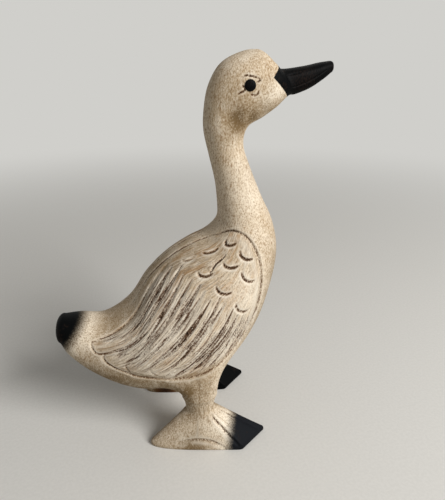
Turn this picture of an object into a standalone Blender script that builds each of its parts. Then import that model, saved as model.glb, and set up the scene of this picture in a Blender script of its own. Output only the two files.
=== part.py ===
"""A goose figurine, carved from one block of pale wood and standing on its two webbed feet.

The goose faces +X, its left side is +Y, and its soles lie on the XY plane. The origin is the
middle of its bounding box, at the height of the soles. Sizes are in millimetres up to the
point where a mesh is made, and metres from there.

The body, neck, head and bill are one loft through oval sections. A leg leaves the loft on each
side through a curved thigh, narrows to an ankle and spreads into a webbed foot. The wings, the
feathers, the eyes, the mouth and the toes are then cut with a V gouge along strokes drawn on
the surface.
"""

import math

import bmesh
import bpy
import numpy as np
from mathutils import Matrix, Vector
from mathutils.bvhtree import BVHTree

MM = 0.001

# Each station of the loft: the point on the back (x, z), the point on the belly (x, z), half
# the width across, how square the section is (2 is an ellipse) and how far its widest place
# lies below the middle, as a share of half its height
STATIONS = {
    "tail_end": ((-120, 116.5), (-126, 95), 14, 2.3, 0),
    "tail": ((-107, 116), (-120, 83), 20, 2.2, 0),
    "rump": ((-87, 113), (-103, 66), 28, 2.2, 0),
    "hind_back": ((-66, 126), (-78, 51), 37, 2.2, 0.05),
    "back": ((-50, 149), (-50, 44.5), 45, 2.2, 0.1),
    "belly": ((-33, 165), (-16, 48), 49, 2.2, 0.1),
    "chest": ((-15, 175.5), (17.5, 71), 50, 2.2, 0.05),
    "high_chest": ((-2, 181), (40, 103), 47, 2.1, 0),
    "shoulder": ((5, 187), (53, 138), 40, 2, 0),
    "breast": ((9, 194), (58, 166), 32, 2, 0),
    "neck_root": ((9, 205), (54, 190), 24, 2, 0),
    "neck_low": ((7, 224), (44, 212), 17.5, 2, 0),
    "neck_mid": ((2.5, 244), (34.5, 235), 15, 2, 0),
    "neck_high": ((-1.5, 263), (29, 252), 15, 2, 0),
    "nape": ((-1, 279), (32, 265), 17, 2, 0),
    "crown_back": ((2.5, 295), (43.5, 272), 19.5, 2.1, 0),
    "crown": ((11, 309), (53, 278.5), 20.5, 2.2, 0),
    "crown_top": ((24, 316.5), (58, 283), 20, 2.2, 0),
    "forehead": ((38.5, 319), (61.5, 286), 17.5, 2.2, 0),
    "brow": ((48.5, 312), (64.5, 287.5), 14, 2.2, 0),
    "bill_root": ((56, 306), (68.5, 288), 10.5, 2.6, 0),
    "bill": ((74, 307.5), (79, 292), 10, 2.8, 0),
    "bill_fore": ((87, 310), (89.5, 298.5), 9, 2.8, 0),
    "bill_tip": ((94, 311), (95, 302.5), 7, 2.6, 0),
}
STATION_NUMBER = {name: number for number, name in enumerate(STATIONS)}
RINGS_PER_STATION = 2
RING_SIDES = 32
TAIL_ROUNDING = 6
BILL_ROUNDING = 3
ROUNDING_RINGS = 3

# The legs. Each leaves the loft through a patch of its skin, given by stations and by degrees
# down from the ridge of the back
THIGH_FROM = STATION_NUMBER["hind_back"] + 0.5
THIGH_TO = STATION_NUMBER["chest"] + 0.5
THIGH_TOP_ANGLE = 99
THIGH_BOTTOM_ANGLE = 162
THIGH_RINGS = 6
LEG_FORWARD = -15
LEG_OUT = 38
SHIN_TOP = 52
SHIN_PULL = 0.8
SHIN_LENGTH_ACROSS = (30, 24)
ANKLE_HEIGHT = 39
ANKLE_LENGTH_ACROSS = (24, 19)
SHIN_RINGS = 2

# The feet: a leaf shape, widest towards the toes
FOOT_LENGTH = 102
FOOT_WIDTH = 40
HEEL_TO_ANKLE = 44
HEEL_TO_CORNER = 78
HEEL_ROUNDNESS = 1.4
FOOT_EDGE = 4
FOOT_BEVEL = 1
FOOT_RINGS = 3
TOE_OUT = math.radians(2.8)
ARCH_RISE = 6
ARCH_AT = 0.19
ARCH_REACH = 0.075

# The V gouge: how deep it cuts, how steep its two flanks are, and how far above the skin it is
# at the ends of a stroke that sinks in and rises out
SPINE_DEPTH = 0.7
FEATHER_DEPTH = 1.7
CRESCENT_DEPTH = 1.2
WING_DEPTH = 2.2
WING_TIP_DEPTH = 1.5
FACE_DEPTH = 0.6
CRACK_DEPTH = 1.6
TOE_DEPTH = 1.0
STEEP = 1.2
SHALLOW = 0.35
NARROW = 2.5
LIFTED = 0.2
CLEAR_OF_SURFACE = 1.0
WALL_HEIGHT = 2.0
SHORTEST_EDGE = 0.05
STEPS_PER_MARK = 2

# The outline of the wing on the goose's right side: station, degrees down from the ridge. It
# runs from the tip over the back and the breast to the lower border, and has one steep flank
WING_OUTLINE = [
    (1.62, 62), (1.95, 50), (2.85, 34), (4.1, 18), (5.5, 9), (6.8, 10), (7.8, 18), (8.7, 34),
    (9.1, 52), (9.15, 70), (8.85, 86), (8.3, 101), (7.6, 115), (6.6, 121), (5.3, 117),
    (4.6, 111), (3.95, 107), (3.3, 103), (2.8, 98),
]
WING_STEPS = 3
# The round ends of the two rearmost feathers, which close the outline
WING_TIPS = [
    [(1.75, 58), (1.62, 62), (1.64, 71), (1.85, 81), (2.2, 77), (2.65, 67)],
    [(2.3, 74), (2.18, 80), (2.17, 87), (2.4, 93), (2.8, 98), (3.1, 100)],
]
# The crescents on the shoulder: station and degrees of the lowest point of each
CRESCENTS = [
    (8.1, 46), (6.75, 29), (5.85, 25), (8.2, 72), (7.35, 58), (6.1, 47), (7.6, 88), (6.5, 70), (6.9, 101),
]
CRESCENT_STEPS = 6
CRESCENT_RADIUS = 7
CRESCENT_START = math.radians(195)
CRESCENT_END = math.radians(305)
# The long feathers: the lines along which they begin and end
FEATHER_COUNT = 15
FEATHER_STARTS = [(5.2, 21), (5.55, 42), (5.9, 62), (6.5, 85), (6.8, 102)]
FEATHER_ENDS = [(1.75, 66), (2.35, 88), (3.3, 101), (4.9, 113), (6.5, 120)]
FEATHER_STEPS = 7
END_SHARE = 0.6
CRACK = [(7.45, 46), (6.8, 44), (6.25, 47)]
SPINE = [(3.7, 0), (4.6, 0), (5.5, 0), (6.3, 0)]

# The eyes: flattened domes of black paint, and the lines cut round them
EYE_AT = (15.95, 83)
EYE_WIDTH = 8.2
EYE_PROUD = 0.4
EYE_DOME = 1.2
EYE_SIDES = 20
EYE_LID = [(15.95, 68), (16.25, 68), (16.45, 76), (16.65, 85)]
EYE_REAR = [(15.72, 72), (15.6, 80), (15.3, 76)]
MOUTH = [(19.0, 116), (20.1, 106), (21.1, 96), (22.2, 88)]
NOSTRIL = [(20.1, 65), (20.7, 58)]
TOE_LINES = [0.325, 0.49]
TOE_LINE_FROM = 0.12
TOE_LINE_TO = 0.97
TOE_LINE_POINTS = 6

WOOD_COLOUR = (0.72, 0.61, 0.46, 1)
STAIN_COLOUR = (0.10, 0.06, 0.035, 1)
BLACK_COLOUR = (0.012, 0.012, 0.013, 1)
BLACK_TAIL_TO = -112
BLACK_BILL_FROM = STATION_NUMBER["brow"] + 0.6
BLACK_TOES_FROM = 14
WOOD_ROUGHNESS = 0.75
STAIN_ROUGHNESS = 0.85
BLACK_ROUGHNESS = 0.45
SHARP_ANGLE = math.radians(35)


def spline(points, at):
    """Read a smooth curve through the points, where point number k lies at k."""
    points = np.asarray(points, float)
    before = 2 * points[0] - points[1]
    after = 2 * points[-1] - points[-2]
    padded = np.vstack([before, points, after])
    at = np.clip(np.asarray(at, float), 0, len(points) - 1)
    number = np.minimum(at.astype(int), len(points) - 2)
    t = (at - number)[:, None]
    p0, p1, p2, p3 = (padded[number + k] for k in range(4))
    slope = p2 - p0
    curve = 2 * p0 - 5 * p1 + 4 * p2 - p3
    bend = 3 * p1 - p0 - 3 * p2 + p3
    return 0.5 * (2 * p1 + slope * t + curve * t**2 + bend * t**3)


def station_table():
    """Write the stations as one row of numbers each."""
    rows = [(*back, *belly, width, square, low) for back, belly, width, square, low in STATIONS.values()]
    return np.array(rows, float)


def signed_power(value, power):
    return np.sign(value) * np.abs(value) ** power


def skin(stations, angles):
    """Give points on the loft. An angle runs from the ridge of the back down the right side."""
    row = spline(station_table(), stations)
    back, belly, width, square, low = row[:, 0:2], row[:, 2:4], row[:, 4], row[:, 5], row[:, 6]
    up = signed_power(np.cos(angles), 2 / square)
    up = up - low * (1 - up**2)
    across = signed_power(np.sin(angles), 2 / square)
    middle = (back + belly) / 2
    half = (back - belly) / 2
    x = middle[:, 0] + half[:, 0] * up
    z = middle[:, 1] + half[:, 1] * up
    return np.stack([x, -width * across, z], axis=1)


def loft_rings():
    """Give the rings of the loft, from the tail to the bill."""
    count = (len(STATIONS) - 1) * RINGS_PER_STATION + 1
    angles = np.arange(RING_SIDES) * 2 * np.pi / RING_SIDES
    stations = np.arange(count) / RINGS_PER_STATION
    return np.array([skin(np.full(RING_SIDES, station), angles) for station in stations])


def ellipse(share, length_across):
    """Give points round an ellipse, where share 0 is its back and 0.25 its outer side."""
    turn = 2 * np.pi * share
    return np.stack([-length_across[0] / 2 * np.cos(turn), length_across[1] / 2 * np.sin(turn)], axis=1)


def foot_outline(share):
    """Give the sole's outline: share 0 is the heel, 1/3 the outer corner and 1/2 the tip."""
    share = share % 1
    outer = share <= 0.5
    half = np.where(outer, share, 1 - share)
    back = np.clip(half * 3, 0, 1) ** HEEL_ROUNDNESS
    fore = np.clip(half * 6 - 2, 0, 1)
    forward = HEEL_TO_CORNER * back + (FOOT_LENGTH - HEEL_TO_CORNER) * fore - HEEL_TO_ANKLE
    out = np.where(outer, 1, -1) * FOOT_WIDTH / 2 * np.sqrt(back) * (1 - fore)
    turned_forward = forward * math.cos(TOE_OUT) - out * math.sin(TOE_OUT)
    turned_out = forward * math.sin(TOE_OUT) + out * math.cos(TOE_OUT)
    return np.stack([turned_forward, turned_out], axis=1)


def foot_points(share, spread):
    """Give points on the top of the right foot, where spread is 0 at the ankle and 1 at the edge."""
    spread = np.broadcast_to(spread, share.shape)
    ankle = ellipse(share, ANKLE_LENGTH_ACROSS)
    flat = ankle + (foot_outline(share) - ankle) * spread[:, None]
    height = ANKLE_HEIGHT + (FOOT_EDGE - ANKLE_HEIGHT) * spread
    return np.stack([LEG_FORWARD + flat[:, 0], -LEG_OUT - flat[:, 1], height], axis=1)


def arch(share):
    """Say how much of the carved arch there is at each place along the foot's outer edge."""
    return np.exp(-(((share - ARCH_AT) / ARCH_REACH) ** 2))


def thigh_border(rings):
    """Walk round the patch of the loft where the right leg starts, from its back, outside first."""
    first = round(THIGH_FROM * RINGS_PER_STATION)
    last = round(THIGH_TO * RINGS_PER_STATION)
    top = round(THIGH_TOP_ANGLE / 360 * RING_SIDES)
    bottom = round(THIGH_BOTTOM_ANGLE / 360 * RING_SIDES)
    middle = (top + bottom) // 2
    walk = [(first, side) for side in range(middle, top, -1)]
    walk += [(ring, top) for ring in range(first, last)]
    walk += [(last, side) for side in range(top, bottom)]
    walk += [(ring, bottom) for ring in range(last, first, -1)]
    walk += [(first, side) for side in range(bottom, middle, -1)]
    inside = {(ring, side) for ring in range(first, last) for side in range(top, bottom)}
    return walk, inside


def inward_tangents(rings, walk):
    """Give the direction along the skin, from each point of the border into the patch."""
    centre = np.mean([rings[place] for place in walk], axis=0)
    tangents = []
    for ring, side in walk:
        along = rings[ring + 1, side] - rings[ring - 1, side]
        round_body = rings[ring, side + 1] - rings[ring, side - 1]
        normal = np.cross(round_body, along)
        normal /= np.linalg.norm(normal)
        inward = centre - rings[ring, side]
        inward = inward - normal * (inward @ normal)
        tangents.append(inward / np.linalg.norm(inward))
    return np.array(tangents)


def leg_rings(rings, walk):
    """Give the rings of the right leg: thigh, shin, top of the foot, edge and sole."""
    border = np.array([rings[place] for place in walk])
    tangents = inward_tangents(rings, walk)
    share = np.arange(len(walk)) / len(walk)

    def level_ring(length_across, height):
        flat = ellipse(share, length_across)
        return np.stack([LEG_FORWARD + flat[:, 0], -LEG_OUT - flat[:, 1], np.full(len(share), height)], axis=1)

    shin = level_ring(SHIN_LENGTH_ACROSS, SHIN_TOP)
    gap = np.linalg.norm(shin - border, axis=1)[:, None]
    down = np.array([0, 0, -SHIN_PULL])
    leg = []
    for step in range(1, THIGH_RINGS + 1):
        t = step / THIGH_RINGS
        leave = (t**3 - 2 * t**2 + t) * gap * tangents
        arrive = (t**3 - t**2) * gap * down
        blend = 3 * t**2 - 2 * t**3
        leg.append(border * (1 - blend) + shin * blend + leave + arrive)
    for step in range(1, SHIN_RINGS + 1):
        t = step / SHIN_RINGS
        narrowing = 1 - (1 - t) ** 2
        size = [top + (end - top) * narrowing for top, end in zip(SHIN_LENGTH_ACROSS, ANKLE_LENGTH_ACROSS)]
        leg.append(level_ring(size, SHIN_TOP + (ANKLE_HEIGHT - SHIN_TOP) * t))
    top_spread = 1 - (FOOT_BEVEL + ARCH_RISE * arch(share)) / (ANKLE_HEIGHT - FOOT_EDGE)
    for step in range(1, FOOT_RINGS + 1):
        leg.append(foot_points(share, top_spread * step / FOOT_RINGS))
    edge = foot_points(share, 1)
    edge[:, 2] = FOOT_EDGE - FOOT_BEVEL * (1 + arch(share))
    leg.append(edge)
    leg.append(edge * (1, 1, 0))
    return leg


def bridge(bm, ring_a, ring_b, skip=()):
    """Join two rings of as many points with a band of quads."""
    for side, next_side in ring_steps(len(ring_a)):
        if side in skip:
            continue
        bm.faces.new((ring_a[side], ring_a[next_side], ring_b[next_side], ring_b[side]))


def ring_steps(count):
    return [(side, (side + 1) % count) for side in range(count)]


def add_ring(bm, points):
    return [bm.verts.new(Vector(point) * MM) for point in points]


def add_rounded_end(bm, ring_verts, ring_points, next_points, rounding):
    """Close the loft with a rounded end."""
    centre = ring_points.mean(axis=0)
    outward = centre - next_points.mean(axis=0)
    outward /= np.linalg.norm(outward)
    last = ring_verts
    for step in range(1, ROUNDING_RINGS):
        turn = math.pi / 2 * step / ROUNDING_RINGS
        points = centre + (ring_points - centre) * math.cos(turn) + outward * rounding * math.sin(turn)
        ring = add_ring(bm, points)
        bridge(bm, last, ring)
        last = ring
    tip = bm.verts.new(Vector(centre + outward * rounding) * MM)
    for side, next_side in ring_steps(len(last)):
        bm.faces.new((last[side], last[next_side], tip))


def goose_mesh():
    """Build the uncut goose as one closed skin."""
    rings = loft_rings()
    walk, inside = thigh_border(rings)
    bm = bmesh.new()
    loft = [add_ring(bm, ring) for ring in rings]
    for number in range(len(rings) - 1):
        right = {side for ring, side in inside if ring == number}
        left = {RING_SIDES - 1 - side for side in right}
        bridge(bm, loft[number], loft[number + 1], skip=right | left)
    add_rounded_end(bm, loft[0], rings[0], rings[1], TAIL_ROUNDING)
    add_rounded_end(bm, loft[-1], rings[-1], rings[-2], BILL_ROUNDING)
    right_leg = leg_rings(rings, walk)
    for mirror in (1, -1):
        last = [loft[ring][side * mirror % RING_SIDES] for ring, side in walk]
        for points in right_leg:
            ring = add_ring(bm, points * (1, mirror, 1))
            bridge(bm, last, ring)
            last = ring
        bm.faces.new(last)
    unused = [vert for vert in bm.verts if not vert.link_faces]
    bmesh.ops.delete(bm, geom=unused, context="VERTS")
    bmesh.ops.recalc_face_normals(bm, faces=bm.faces)
    mesh = bpy.data.meshes.new("goose")
    bm.to_mesh(mesh)
    bm.free()
    return mesh


class Gouge:
    """Collects V-shaped cuts on a surface into one mesh."""

    def __init__(self, surface):
        self.surface = surface
        self.bm = bmesh.new()

    def stroke(self, points, depth, flanks=(STEEP, STEEP), start=0.0, end=0.0):
        """Cut along the points, in metres. Start and end say what share of the depth is left there."""
        places = [self.surface.find_nearest(Vector(point)) for point in points]
        last = len(places) - 1
        sections = []
        for number, (path, facing, *_) in enumerate(places):
            behind = places[max(number - 1, 0)]
            ahead = places[min(number + 1, last)]
            normal = (behind[1] + 2 * facing + ahead[1]).normalized()
            left = normal.cross((ahead[0] - behind[0]).normalized()).normalized()
            t = number / last
            least = start if t < 0.5 else end
            sunk = depth * (least + (1 - least) * math.sqrt(math.sin(math.pi * t)))
            if least == 0 and number in (0, last):
                sunk = -LIFTED
            deepest = path - normal * sunk * MM
            flank_height = sunk + CLEAR_OF_SURFACE
            left_top = deepest + (normal + left / flanks[0]) * flank_height * MM
            right_top = deepest + (normal - left / flanks[1]) * flank_height * MM
            wall = normal * WALL_HEIGHT * MM
            corners = [left_top + wall, left_top, deepest, right_top, right_top + wall]
            sections.append([self.bm.verts.new(corner) for corner in corners])
        for section, next_section in zip(sections, sections[1:]):
            bridge(self.bm, section, next_section)
        self.bm.faces.new(sections[0])
        self.bm.faces.new(sections[-1])

    def cutter(self, material):
        """Turn the strokes into an object that can be taken off the goose."""
        bmesh.ops.recalc_face_normals(self.bm, faces=self.bm.faces)
        mesh = bpy.data.meshes.new("gouge_cuts")
        self.bm.to_mesh(mesh)
        self.bm.free()
        mesh.materials.append(material)
        return bpy.data.objects.new("gouge_cuts", mesh)


def apply_boolean(goose, tool, operation):
    """Join a tool object to the goose or take it off, and remove the tool."""
    bpy.context.scene.collection.objects.link(tool)
    boolean = goose.modifiers.new(operation.lower(), "BOOLEAN")
    boolean.operation = operation
    boolean.solver = "EXACT"
    boolean.use_self = True
    boolean.material_mode = "TRANSFER"
    boolean.object = tool
    weld = goose.modifiers.new("short_edges", "WELD")
    weld.mode = "CONNECTED"
    weld.merge_threshold = SHORTEST_EDGE * MM
    evaluated = goose.evaluated_get(bpy.context.evaluated_depsgraph_get())
    result = bpy.data.meshes.new_from_object(evaluated)
    goose.modifiers.clear()
    goose.data = result
    bpy.data.objects.remove(tool)


def drop_chips(goose):
    """Remove the chips that crossing cuts leave."""
    bm = bmesh.new()
    bm.from_mesh(goose.data)
    bodies = sorted(face_groups(bm), key=len)
    chips = [face for body in bodies[:-1] for face in body]
    bmesh.ops.delete(bm, geom=chips, context="FACES")
    bm.to_mesh(goose.data)
    bm.free()


def face_groups(bm):
    """Sort the faces into groups that are joined across their edges."""
    unsorted_faces = set(bm.faces)
    groups = []
    while unsorted_faces:
        group = [unsorted_faces.pop()]
        for face in group:
            for edge in face.edges:
                joined = [other for other in edge.link_faces if other in unsorted_faces]
                unsorted_faces.difference_update(joined)
                group.extend(joined)
        groups.append(group)
    return groups


def add_eyes(goose, surface, black):
    """Raise the painted eyes a little from the head."""
    bm = bmesh.new()
    share_at_skin = 1 - EYE_PROUD / EYE_DOME
    radius = EYE_WIDTH / 2 / math.sqrt(1 - share_at_skin**2)
    flatten = Matrix.Diagonal((radius * MM, radius * MM, EYE_DOME * MM, 1))
    for mirror in (1, -1):
        place, normal = surface.find_nearest(Vector(on_skin([EYE_AT, EYE_AT], mirror)[0]))[:2]
        sunk = Matrix.Translation(place - normal * share_at_skin * EYE_DOME * MM)
        facing = normal.to_track_quat("Z", "Y").to_matrix().to_4x4()
        bmesh.ops.create_uvsphere(
            bm, u_segments=EYE_SIDES, v_segments=EYE_SIDES, radius=1, matrix=sunk @ facing @ flatten
        )
    mesh = bpy.data.meshes.new("eyes")
    bm.to_mesh(mesh)
    bm.free()
    mesh.materials.append(black)
    mesh.shade_smooth()
    eyes = bpy.data.objects.new("eyes", mesh)
    apply_boolean(goose, eyes, "UNION")


def on_skin(marks, mirror, steps=STEPS_PER_MARK):
    """Read a smooth line of points on the loft, in metres, through the marks."""
    last = len(marks) - 1
    line = spline(marks, np.linspace(0, last, last * steps + 1))
    points = skin(line[:, 0], np.radians(line[:, 1]))
    return points * (1, mirror, 1) * MM


def carve_wings(gouge):
    for mirror in (1, -1):
        flanks = (STEEP, SHALLOW) if mirror == 1 else (SHALLOW, STEEP)
        outline = on_skin(WING_OUTLINE, mirror, WING_STEPS)
        gouge.stroke(outline, WING_DEPTH, flanks, start=END_SHARE, end=END_SHARE)
        for marks in WING_TIPS:
            gouge.stroke(on_skin(marks, mirror), WING_TIP_DEPTH, start=END_SHARE, end=END_SHARE)


def carve_feathers(gouge):
    shares = np.linspace(0, 1, FEATHER_COUNT)
    starts = spline(FEATHER_STARTS, shares * (len(FEATHER_STARTS) - 1))
    ends = spline(FEATHER_ENDS, shares * (len(FEATHER_ENDS) - 1))
    for mirror in (1, -1):
        for marks in zip(starts, ends):
            gouge.stroke(on_skin(marks, mirror, FEATHER_STEPS), FEATHER_DEPTH, end=END_SHARE)


def carve_crescents(gouge):
    turns = np.linspace(CRESCENT_START, CRESCENT_END, CRESCENT_STEPS + 1)
    arc = np.stack([np.cos(turns), turns * 0, 1 + np.sin(turns)], axis=1)
    for mirror in (1, -1):
        for mark in CRESCENTS:
            lowest = on_skin([mark, mark], mirror)[0]
            gouge.stroke(lowest + arc * CRESCENT_RADIUS * MM, CRESCENT_DEPTH)


def carve_details(gouge):
    gouge.stroke(on_skin(CRACK, 1), CRACK_DEPTH, flanks=(NARROW, NARROW))
    gouge.stroke(on_skin(SPINE, 1), SPINE_DEPTH)
    for mirror in (1, -1):
        for marks in (EYE_LID, EYE_REAR, MOUTH, NOSTRIL):
            gouge.stroke(on_skin(marks, mirror), FACE_DEPTH)
        for share in TOE_LINES:
            spread = np.linspace(TOE_LINE_FROM, TOE_LINE_TO, TOE_LINE_POINTS)
            line = foot_points(np.full(TOE_LINE_POINTS, share), spread)
            gouge.stroke(line * (1, mirror, 1) * MM, TOE_DEPTH)


def make_material(name, colour, roughness):
    material = bpy.data.materials.new(name)
    material.use_nodes = True
    shader = material.node_tree.nodes["Principled BSDF"]
    shader.inputs["Base Color"].default_value = colour
    shader.inputs["Roughness"].default_value = roughness
    shader.inputs["Metallic"].default_value = 0
    return material


def paint_black(mesh):
    """Give the tail's end, the bill and the toes the black paint's slot."""
    back_x, _, belly_x, *_ = spline(station_table(), [BLACK_BILL_FROM])[0]
    for face in mesh.polygons:
        x, _, z = face.center / MM
        is_bill = x > (back_x + belly_x) / 2
        is_tail = x < BLACK_TAIL_TO
        is_toe = z < ANKLE_HEIGHT and x > BLACK_TOES_FROM
        if is_bill or is_tail or is_toe:
            face.material_index = 1


def main():
    for old in list(bpy.data.objects):
        bpy.data.objects.remove(old)
    mesh = goose_mesh()
    black = make_material("black_paint", BLACK_COLOUR, BLACK_ROUGHNESS)
    stain = make_material("dark_stain", STAIN_COLOUR, STAIN_ROUGHNESS)
    mesh.materials.append(make_material("limewashed_wood", WOOD_COLOUR, WOOD_ROUGHNESS))
    mesh.materials.append(black)
    paint_black(mesh)
    mesh.shade_smooth()
    mesh.set_sharp_from_angle(angle=SHARP_ANGLE)
    goose = bpy.data.objects.new("goose", mesh)
    bpy.context.scene.collection.objects.link(goose)
    reach = [vertex.co.x for vertex in mesh.vertices]
    surface_mesh = bmesh.new()
    surface_mesh.from_mesh(mesh)
    surface = BVHTree.FromBMesh(surface_mesh)
    surface_mesh.free()
    add_eyes(goose, surface, black)
    gouge = Gouge(surface)
    carve_wings(gouge)
    carve_feathers(gouge)
    carve_crescents(gouge)
    carve_details(gouge)
    apply_boolean(goose, gouge.cutter(stain), "DIFFERENCE")
    drop_chips(goose)
    goose.location.x = -(min(reach) + max(reach)) / 2


main()
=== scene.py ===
"""The looks of the carved goose: its limewashed and stained wood, its carving and its black paint.

The goose is one piece, built from the same stations, legs and feet as the CAD part, with a finer
skin. The strokes of the gouge push that skin in, and what each stroke leaves behind is kept as
attributes of the mesh, which the wood's material reads. Sizes are in millimetres until the mesh
is made, and x is then moved to where the CAD part stands.
"""

import math

import bmesh
import bpy
import numpy as np
from mathutils import Euler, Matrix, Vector
from mathutils.bvhtree import BVHTree
from mathutils.kdtree import KDTree


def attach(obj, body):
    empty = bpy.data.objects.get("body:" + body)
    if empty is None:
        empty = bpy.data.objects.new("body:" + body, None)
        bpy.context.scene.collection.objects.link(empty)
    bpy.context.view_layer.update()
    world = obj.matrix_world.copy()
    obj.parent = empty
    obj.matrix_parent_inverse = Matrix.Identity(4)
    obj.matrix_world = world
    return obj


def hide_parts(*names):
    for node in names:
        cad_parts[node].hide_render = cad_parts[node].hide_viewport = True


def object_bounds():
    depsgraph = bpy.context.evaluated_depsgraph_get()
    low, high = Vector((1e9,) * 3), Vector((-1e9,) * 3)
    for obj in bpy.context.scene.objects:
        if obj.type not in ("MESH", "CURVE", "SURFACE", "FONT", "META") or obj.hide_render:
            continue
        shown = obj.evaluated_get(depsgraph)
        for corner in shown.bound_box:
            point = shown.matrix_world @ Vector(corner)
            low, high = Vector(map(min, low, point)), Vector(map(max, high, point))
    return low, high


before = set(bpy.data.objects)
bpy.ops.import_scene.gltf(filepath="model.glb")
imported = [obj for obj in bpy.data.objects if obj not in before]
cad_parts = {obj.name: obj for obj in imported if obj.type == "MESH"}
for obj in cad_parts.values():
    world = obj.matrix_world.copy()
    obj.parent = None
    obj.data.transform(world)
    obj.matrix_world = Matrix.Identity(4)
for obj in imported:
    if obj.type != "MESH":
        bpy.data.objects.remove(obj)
CAD_LOW, CAD_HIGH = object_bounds()

MM = 0.001

# Form: the same values as the CAD part, apart from the top of the shin and the ankle, which lie
# lower here, and the worn corners of the feet. Each station of the loft has the point on the back
# (x, z), the point on the belly (x, z), half the width across, how square the section is (2 is an
# ellipse) and how far its widest place lies below the middle, as a share of half its height
STATIONS = [
    ((-120, 116.5), (-126, 95), 14, 2.3, 0),
    ((-107, 116), (-120, 83), 20, 2.2, 0),
    ((-87, 113), (-103, 66), 28, 2.2, 0),
    ((-66, 126), (-78, 51), 37, 2.2, 0.05),
    ((-50, 149), (-50, 44.5), 45, 2.2, 0.1),
    ((-33, 165), (-16, 48), 49, 2.2, 0.1),
    ((-15, 175.5), (17.5, 71), 50, 2.2, 0.05),
    ((-2, 181), (40, 103), 47, 2.1, 0),
    ((5, 187), (53, 138), 40, 2, 0),
    ((9, 194), (58, 166), 32, 2, 0),
    ((9, 205), (54, 190), 24, 2, 0),
    ((7, 224), (44, 212), 17.5, 2, 0),
    ((2.5, 244), (34.5, 235), 15, 2, 0),
    ((-1.5, 263), (29, 252), 15, 2, 0),
    ((-1, 279), (32, 265), 17, 2, 0),
    ((2.5, 295), (43.5, 272), 19.5, 2.1, 0),
    ((11, 309), (53, 278.5), 20.5, 2.2, 0),
    ((24, 316.5), (58, 283), 20, 2.2, 0),
    ((38.5, 319), (61.5, 286), 17.5, 2.2, 0),
    ((48.5, 312), (64.5, 287.5), 14, 2.2, 0),
    ((56, 306), (68.5, 288), 10.5, 2.6, 0),
    ((74, 307.5), (79, 292), 10, 2.8, 0),
    ((87, 310), (89.5, 298.5), 9, 2.8, 0),
    ((94, 311), (95, 302.5), 7, 2.6, 0),
]
TAIL_ROUNDING = 6
BILL_ROUNDING = 3
ROUNDING_STEPS = 9
# The patch of the loft where a leg starts. The way round its border is counted in steps of half a
# station or of 11.25 degrees, as in the CAD part
THIGH_STATIONS = (3.5, 6.5)
THIGH_ANGLES = (101.25, 157.5)
THIGH_WALK_STATION = 0.5
THIGH_WALK_ANGLE = 11.25
THIGH_WALK_POINTS = 22
LEG_FORWARD = -15
LEG_OUT = 38
SHIN_TOP = 49.5
SHIN_PULL = 0.8
SHIN_LENGTH_ACROSS = (30, 24)
ANKLE_HEIGHT = 36
ANKLE_LENGTH_ACROSS = (24, 19)
FOOT_LENGTH = 102
FOOT_WIDTH = 40
HEEL_TO_ANKLE = 44
HEEL_TO_CORNER = 78
HEEL_ROUNDNESS = 1.4
FOOT_EDGE = 4
FOOT_BEVEL = 1
TOE_OUT = math.radians(2.8)
ARCH_RISE = 6
ARCH_AT = 0.19
ARCH_REACH = 0.075
CORNER_ROUNDING = 0.005
CORNER_SAMPLES = 9
# Where the rings of the foot's edge lie between its top and its side, how far the edge bulges,
# and how far up and inwards the corner of the sole is rounded
EDGE_STEPS = (0.35, 0.7, 1)
EDGE_BULGE = 0.35
SOLE_CORNER_UP = 0.8
SOLE_CORNER_IN = 0.7

# How finely the skin is sampled: stretches of stations and of degrees, with the steps in each
STATION_STEPS = [
    (0, 1.4, 18), (1.4, 3.5, 58), (3.5, 6.5, 80), (6.5, 9.5, 72), (9.5, 15, 50), (15, 20, 90),
    (20, 23, 44),
]
ANGLE_STEPS = [(0, 5, 4), (5, 101.25, 160), (101.25, 125, 36), (125, 157.5, 24), (157.5, 180, 12)]
THIGH_ROWS = 56
SHIN_ROWS = 12
FOOT_ROWS = 36
TRIANGLES = 190000

# The place on the loft (station, degrees) that the vertices of a leg have until the nearest one is
# looked up, and the places among which it is looked up: first, end and step. It is the mean of
# the nearest few, weighted by how near they are
LEG_PLACE = (5, 130)
NEAR_LEG_STATIONS = (3.2, 6.9, 0.06)
NEAR_LEG_ANGLES = (98, 170, 1.0)
NEAREST_COUNT = 4
NEAREST_SOFTENING = 0.2

# Carving, in (station, degrees down from the ridge) on the goose's right side
MM_PER_STATION = 20.8
MM_PER_DEGREE = 0.93
WING_OUTLINE = [
    (1.62, 62), (1.95, 50), (2.85, 34), (4.1, 18), (5.5, 9), (6.8, 10), (7.8, 18), (8.7, 34),
    (9.1, 52), (9.15, 70), (8.8, 88), (8.25, 103.5), (7.65, 116), (6.8, 122), (5.3, 117.5),
    (4.6, 111), (3.95, 107), (3.3, 103), (2.8, 98),
]
WING_CLOSING = [(2.3, 90), (1.75, 76)]
WING_FADE = 5
OUTLINE_POINTS = 160
# Stretches of the outline, as shares of its length: with how deep the gouge went in OUTLINE_CUTS,
# and with how dark the stain is in OUTLINE_INKS
OUTLINE_CUTS = [(0, 0.2, 1.5), (0.34, 1, 1.6)]
OUTLINE_INKS = [
    (0, 0.17, 0.9), (0.34, 0.5, 0.9), (0.47, 0.62, 0.85), (0.6, 0.72, 0.85), (0.7, 0.9, 0.7),
    (0.88, 1, 0.95),
]
# The round ends of the rear feathers: how strongly each is cut, and its line
WING_TIPS = [
    (1, [(1.75, 58), (1.62, 62), (1.64, 71), (1.85, 81), (2.2, 77), (2.65, 69), (3.3, 63), (3.9, 59)]),
    (1, [(2.2, 77), (2.15, 81), (2.17, 87), (2.4, 93), (2.8, 98), (3.1, 99)]),
    (0.7, [(3.3, 87), (2.95, 90), (3.05, 97), (3.3, 104), (3.6, 104)]),
    (0.55, [(4.15, 91), (3.8, 94), (3.9, 101), (4.2, 106), (4.5, 107)]),
]
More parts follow.
